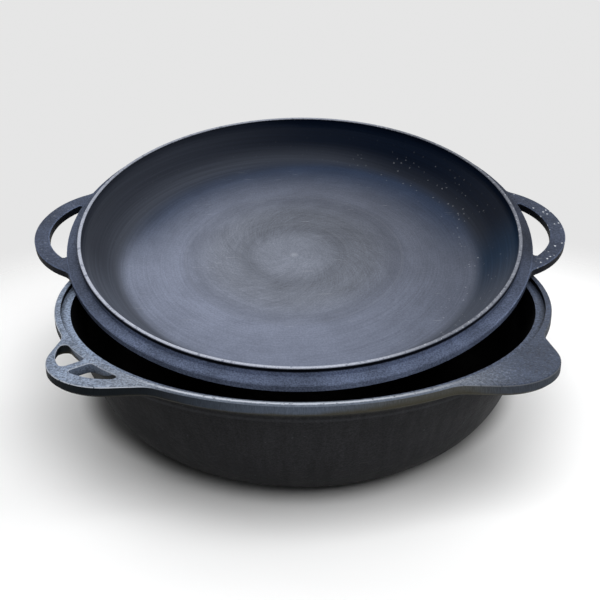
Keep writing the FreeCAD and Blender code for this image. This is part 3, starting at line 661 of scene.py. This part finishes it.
class KAZAN_OT_pan(bpy.types.Operator):
    """Gives the lid pan its turned floor, dark wall, worn lip and cast handles"""

    bl_idname = "kazan.pan"
    bl_label = "Finish the Lid Pan"

    def execute(self, context):
        looks = context.scene.kazan_pan
        material, graph, shader = new_material("Turned cast iron", looks.gloss)
        where = graph.node("TexCoord").outputs
        shift = (looks.aside, -looks.setback, -looks.height)
        place = self.in_pan(graph, looks, graph.moved(where["Object"], shift))
        facing = self.in_pan(graph, looks, where["Normal"])
        spot = use_group(graph, round_place_group, {"Place": place})
        grain = use_group(graph, cast_grain_group, {"Place": place, "Fineness": GRAIN})
        turned = self.turned(graph, looks, place)
        parts = self.parts(graph, looks, spot, graph.axes(facing)["Z"])

        bowl = self.bowl(graph, looks, spot, place, turned, parts)
        outer = self.outer(graph, looks, spot, place, grain, parts)
        base = graph.mix(parts["inside"], outer, bowl)
        dull = graph.vary(grain["Mottle"], looks.cast, 0.4, 0.9)
        base = graph.mix(parts["lip"], base, dull)
        crown = graph.band(spot["Radius"], looks.lip - 0.55 * looks.lip_width, 0.0008, 0.0008)
        worn = self.worn_lip(graph, looks, place, grain, parts)
        base = graph.mix(graph.times(parts["lip"], crown), base, worn)

        on_floor = graph.times(parts["inside"], parts["floor"])
        roughness = graph.blend(on_floor, 0.5, graph.blend(turned["Rings"], 0.36, 0.5))
        rings = graph.times(turned["Rings"], 0.35)
        height = graph.blend(parts["inside"], grain["Height"], rings)
        shade(graph, shader, base, roughness, height)
        give_material("lid_pan", material)
        return {"FINISHED"}

    def in_pan(self, graph, looks, vector):
        """A place or a direction, turned upright with the pan."""
        inputs = {"Vector": vector, "Rotation": (-looks.lean, 0.0, 0.0)}
        return graph.node("Mapping", inputs, vector_type="POINT").outputs[0]

    def turned(self, graph, looks, place):
        """The lathe's marks, whose middle is a little to the front left of the pan's."""
        marked = graph.moved(place, (looks.mark_aside, looks.mark_front, 0.0))
        lathe = use_group(graph, round_place_group, {"Place": marked})
        names = ("Radius", "Angle", "Out X", "Out Y")
        marks = use_group(graph, turned_marks_group, {name: lathe[name] for name in names})
        return {"Radius": lathe["Radius"], **dict(marks.items())}

    def parts(self, graph, looks, spot, up):
        """Where each kind of surface is: 1 on it and 0 elsewhere."""
        radius, height = spot["Radius"], spot["Height"]
        skin = graph.most(looks.skin, graph.minus(radius, looks.skin_rise))
        within = graph.below(radius, looks.lip - 0.7 * looks.lip_width)
        behind = graph.step(spot["Y"], *looks.behind)
        soft, sharp, front = (
            looks.crease - turn for turn in (looks.soft_turn, looks.sharp_turn, looks.front_turn)
        )
        rear = graph.blend(graph.step(spot["X"], *looks.sharp_edge), soft, sharp)
        turn_up = graph.blend(behind, front, rear)
        return {
            "inside": graph.times(graph.above(height, skin), within),
            "right": graph.step(spot["X"], *looks.right),
            "behind": behind,
            "floor": graph.fall(radius, turn_up, looks.crease + 0.003),
            "lip": graph.times(
                graph.step(height, looks.lip_top - 0.0006, looks.lip_top - 0.0003),
                graph.above(radius, looks.crease + 0.01),
            ),
            "level": graph.step(up, 0.35, 0.6),
            "bevel": graph.band(up, 0.71, 0.08, 0.1),
            "upper": graph.above(height, looks.handle_top - 0.0075),
        }

    def bowl(self, graph, looks, spot, place, turned, parts):
        """The floor and the wall round it, with bright specks where they meet."""
        floor = self.floor(graph, looks, spot, place, turned, parts)
        wall = self.wall(graph, looks, spot, turned, parts)
        bowl = graph.mix(parts["floor"], wall, floor)
        specks = graph.times(
            flecks(graph, place, spacing=0.0034, size=0.0008, portion=0.3),
            graph.band(spot["Radius"], looks.crease, 0.004, 0.02),
            graph.blend(parts["right"], 0.02, 0.2),
        )
        return graph.mix(specks, bowl, looks.chip)

    def floor(self, graph, looks, spot, place, turned, parts):
        """Turned iron with painted sheen: lighter to the front left, and darker at the rear as
        painted shade.
        """
        radius = turned["Radius"]
        middle = graph.fall(radius, looks.ring_two - 0.03, looks.ring_two + 0.006)
        floor = graph.mix(middle, looks.floor, looks.centre)
        floor = graph.vary_colour(floor, graph.step(radius, 0.008, looks.ring_one), 1.32, 1.0)
        # Painted sheen: the floor is painted lighter to the front left and darker to the rear
        # right.
        across = graph.plus(graph.times(spot["X"], 5.8), graph.times(spot["Y"], 4.3))
        floor = graph.vary_colour(floor, graph.step(across, -0.9, 0.9), 1.2, 0.5)
        # Painted shade over the floor's rear part, growing towards the wall.
        film = graph.times(
            graph.step(spot["Radius"], 0.08, looks.crease - 0.006),
            graph.blend(parts["behind"], 0.15, 0.88),
        )
        floor = graph.mix(film, floor, looks.film)

        # Turned streaks in the middle: real lathe marks, painted lighter and darker as the fan of
        # sheen they give.
        streaks = graph.blend(middle, 0.5, graph.step(turned["Streaks"], 0.3, 0.7))
        floor = graph.vary_colour(floor, streaks, 0.8, 1.2)
        fine = graph.noise(place, 800.0, detail=2.0, roughness=0.6)
        cloudy = graph.noise(place, 40.0, detail=4.0, roughness=0.6)
        for pattern, amount in (
            (turned["Rings"], 0.08), (fine, 0.1), (cloudy, 0.07), (turned["Swirl"], 0.05)
        ):
            tone = graph.step(pattern, 0.3, 0.7)
            floor = graph.vary_colour(floor, tone, 1.0 - amount, 1.0 + amount)

        for ring, tone in ((looks.ring_one, 0.88), (looks.ring_two, 0.86)):
            beside = graph.band(radius, ring - 0.004, 0.002, 0.009)
            floor = graph.vary_colour(floor, beside, 1.0, tone)
            line = graph.band(radius, ring, 0.0004, 0.0015)
            floor = graph.mix(graph.times(line, 0.015), floor, looks.chip)
        dot = graph.fall(radius, 0.001, 0.004)
        floor = graph.mix(graph.times(dot, 0.13), floor, looks.chip)
        return graph.mix(graph.times(scratches(graph, place), 0.3), floor, looks.chip)

    def wall(self, graph, looks, spot, turned, parts):
        """Wall painted dark as shade: paler on the left as painted light, paler in front and at
        its foot, and blue on the right.
        """
        # Painted shade on the wall, with painted light on the left.
        wall = graph.mix(graph.fall(spot["X"], *looks.lit_wall_end), looks.wall, looks.lit_wall)
        near = graph.fall(spot["Radius"], looks.crease, looks.crease + 0.014)
        foot = graph.times(near, graph.blend(parts["right"], 0.55, 0.25))
        wall = graph.mix(foot, wall, looks.pale_crease)
        blued = graph.times(
            graph.step(spot["X"], *looks.blue_start), graph.fall(spot["Y"], *looks.blue_back)
        )
        wall = graph.mix(blued, wall, looks.blue_wall)
        front = graph.times(graph.fall(spot["Y"], *looks.pale_front), 0.9)
        wall = graph.mix(front, wall, looks.pale_crease)
        return graph.vary_colour(wall, graph.step(turned["Rings"], 0.3, 0.75), 0.85, 1.2)

    def outer(self, graph, looks, spot, place, grain, parts):
        """The flange and the handles with painted shade on their upright sides and a painted
        shadow under the lip, and the seasoned underside.
        """
        radius, height = spot["Radius"], spot["Height"]
        shadow = graph.times(
            graph.fall(radius, looks.lip + 0.0003, looks.lip + 0.0012),
            graph.step(height, looks.flange_top + 0.0028, looks.flange_top + 0.0042),
        )
        rolled = graph.times(
            graph.band(radius, looks.flange - 0.001, 0.0014, 0.0006),
            graph.step(height, looks.handle_top - 0.006, looks.handle_top - 0.003),
        )
        lit = graph.most(
            graph.most(parts["level"], rolled), graph.below(radius, looks.lip + 0.0005)
        )
        # Painted shade on the upright sides; the lit tops get the cast colour.
        side = graph.vary(grain["Mottle"], looks.side, 0.7, 1.4)
        cast = self.cast(graph, looks, spot, place, grain, parts)
        upper = graph.mix(graph.times(lit, graph.without(shadow)), side, cast)
        under = graph.vary(grain["Mottle"], looks.under, 0.75, 1.3)
        return graph.mix(parts["upper"], under, upper)

    def cast(self, graph, looks, spot, place, grain, parts):
        """Grainy flange and handles, paler in front, with painted highlights on their bevels, and
        chipped on the right handle.
        """
        cast = graph.vary(grain["Speckle"], looks.cast, 0.65, 1.35)
        cast = graph.vary_colour(cast, grain["Mottle"], 0.78, 1.22)
        handle = graph.step(spot["Radius"], looks.flange, looks.flange + 0.004)
        oiled = graph.times(
            graph.without(handle),
            graph.step(spot["X"], *looks.oil_side),
            graph.step(spot["Y"], *looks.oil_front),
        )
        # Painted highlight on the bevels of the flange and handles, towards the front.
        bright = graph.times(
            parts["bevel"],
            graph.step(spot["Y"], *looks.bevel_front),
            graph.above(spot["Radius"], looks.lip + 0.002),
        )
        rounded = graph.times(
            graph.without(parts["level"]), graph.fall(spot["Y"], *looks.round_front)
        )
        for mask, tone in (
            (graph.times(handle, parts["right"]), 0.78),
            (oiled, 0.5),
            (graph.fall(spot["Y"], *looks.flange_front), 1.75),
            (bright, 1.8),
            (rounded, 1.9),
        ):
            cast = graph.vary_colour(cast, mask, 1.0, tone)
        chips = flecks(graph, place, spacing=0.003, size=0.001, portion=0.3)
        marks = graph.most(chips, graph.times(scratches(graph, place), 0.6))
        amount = graph.times(marks, handle, graph.blend(parts["right"], 0.1, 0.8))
        return graph.mix(amount, cast, looks.chip)

    def worn_lip(self, graph, looks, place, grain, parts):
        """Thin bare line, broken by dark chips and, on the right, by bright ones."""
        worn = graph.vary(grain["Speckle"], looks.worn, 0.85, 1.12)
        broken = graph.step(graph.noise(place, 260.0, detail=3.0, roughness=0.6), 0.56, 0.64)
        worn = graph.mix(graph.times(broken, 0.5), worn, looks.cast)
        worn = graph.vary_colour(worn, parts["right"], 1.0, 0.45)
        worn = graph.vary_colour(worn, parts["behind"], 1.2, 0.85)
        bright = graph.step(graph.noise(place, 420.0, detail=3.0, roughness=0.7), 0.58, 0.64)
        amount = graph.times(bright, graph.blend(parts["right"], 0.15, 0.45))
        return graph.mix(amount, worn, looks.chip)


class KAZAN_OT_stage(bpy.types.Operator):
    """Adds the pale floor, the soft light and the camera"""

    bl_idname = "kazan.stage"
    bl_label = "Set the Stage"

    def execute(self, context):
        looks = context.scene.kazan_stage
        self.floor(looks)
        self.world(context.scene, looks)
        self.lamps(context.scene)
        self.camera(context.scene, looks)
        context.scene.view_settings.view_transform = "Standard"
        return {"FINISHED"}

    def floor(self, looks):
        """A white disc that fades out at its edge, with a painted shadow under the pot."""
        bpy.ops.object.select_all(action="DESELECT")
        bpy.ops.mesh.primitive_circle_add(
            vertices=128, radius=looks.floor_radius, fill_type="NGON", location=(0, 0, 0)
        )
        floor = bpy.context.object
        floor.name = "floor"
        material = bpy.data.materials.new("White floor")
        material.use_nodes = True
        nodes = material.node_tree.nodes
        nodes.remove(nodes["Principled BSDF"])
        graph = Graph(material.node_tree)
        place = graph.node("TexCoord").outputs["Object"]
        spot = use_group(graph, round_place_group, {"Place": place})

        # Painted shadow: an ellipse of dark paint under the pot, fading towards the rear, with a
        # fainter ring of it round the pot.
        across = graph.over(graph.plus(spot["X"], looks.shade_aside), looks.shade_width)
        deep = graph.over(graph.minus(spot["Y"], looks.shade_back), looks.shade_depth)
        away = graph.math(
            "SQRT", graph.plus(graph.times(across, across), graph.times(deep, deep))
        )
        around = graph.mix(graph.step(away, 1.0, 1.6), looks.faint_painted_shadow, looks.white)
        rear = graph.step(spot["Y"], *looks.shade_end)
        clear = graph.most(graph.step(away, 0.9, 1.05), rear)
        white = graph.mix(clear, looks.painted_shadow, around)
        paint = graph.node("BsdfDiffuse", {"Color": white}).outputs[0]
        nothing = graph.node("BsdfTransparent").outputs[0]
        edge = looks.floor_radius
        fade = graph.step(spot["Radius"], edge - looks.floor_fade, edge)
        mixed = graph.node("MixShader", {0: fade, 1: paint, 2: nothing}).outputs[0]
        graph.feed(nodes["Material Output"].inputs["Surface"], mixed)
        floor.data.materials.append(material)

    def world(self, scene, looks):
        """Even light on the object, and a pale grey backdrop behind it."""
        world = bpy.data.worlds.new("Studio")
        scene.world = world
        world.use_nodes = True
        nodes = world.node_tree.nodes
        graph = Graph(world.node_tree)
        even = nodes["Background"]
        graph.feed(even.inputs["Color"], looks.daylight)
        graph.feed(even.inputs["Strength"], looks.ambient)
        grey = {"Color": (looks.backdrop,) * 3, "Strength": 1.0}
        backdrop = graph.node("Background", grey).outputs[0]
        path = graph.node("LightPath").outputs
        through = graph.most(path["Is Glossy Ray"], path["Is Transmission Ray"])
        seen = graph.most(path["Is Camera Ray"], through)
        mixed = graph.node("MixShader", {0: seen, 1: even.outputs[0], 2: backdrop}).outputs[0]
        graph.feed(nodes["World Output"].inputs["Surface"], mixed)

    def lamps(self, scene):
        for name, (place, width, power) in LAMPS.items():
            data = bpy.data.lights.new(name, "AREA")
            data.size = width
            data.energy = power
            lamp = bpy.data.objects.new(name, data)
            scene.collection.objects.link(lamp)
            lamp.location = place
            lamp.rotation_euler = (-Vector(place)).to_track_quat("-Z", "Y").to_euler()
            lamp.visible_camera = False

    def camera(self, scene, looks):
        data = bpy.data.cameras.new("camera")
        data.lens = looks.lens
        data.sensor_width = looks.frame_width
        camera = bpy.data.objects.new("camera", data)
        scene.collection.objects.link(camera)
        camera.location = (0.0, -looks.camera_back, looks.camera_height)
        aim = Vector((looks.aim_side, 0.0, looks.aim_height)) - camera.location
        roll = Quaternion((0.0, 0.0, 1.0), looks.roll)
        camera.rotation_euler = (aim.to_track_quat("-Z", "Y") @ roll).to_euler()
        scene.camera = camera


class KAZAN_PT_panel(bpy.types.Panel):
    """Lists the pieces and the stage"""

    bl_label = "Kazan"
    bl_space_type = "VIEW_3D"
    bl_region_type = "UI"
    bl_category = "Kazan"

    def draw(self, context):
        for operator in OPERATORS:
            self.layout.operator(operator.bl_idname)
        for name in LOOKS:
            box = self.layout.box()
            group = getattr(context.scene, name)
            for label in group.__annotations__:
                box.prop(group, label)


LOOKS = {"kazan_pot": KazanPotLooks, "kazan_pan": KazanPanLooks, "kazan_stage": KazanStageLooks}
OPERATORS = (KAZAN_OT_pot, KAZAN_OT_pan, KAZAN_OT_stage)
CLASSES = (*LOOKS.values(), *OPERATORS, KAZAN_PT_panel)


def register():
    for cls in CLASSES:
        bpy.utils.register_class(cls)
    for name, cls in LOOKS.items():
        setattr(bpy.types.Scene, name, PointerProperty(type=cls))


def unregister():
    for name in LOOKS:
        delattr(bpy.types.Scene, name)
    for cls in reversed(CLASSES):
        bpy.utils.unregister_class(cls)


def main():
    register()
    bpy.ops.kazan.pot()
    bpy.ops.kazan.pan()
    bpy.ops.kazan.stage()


if __name__ == "__main__":
    main()
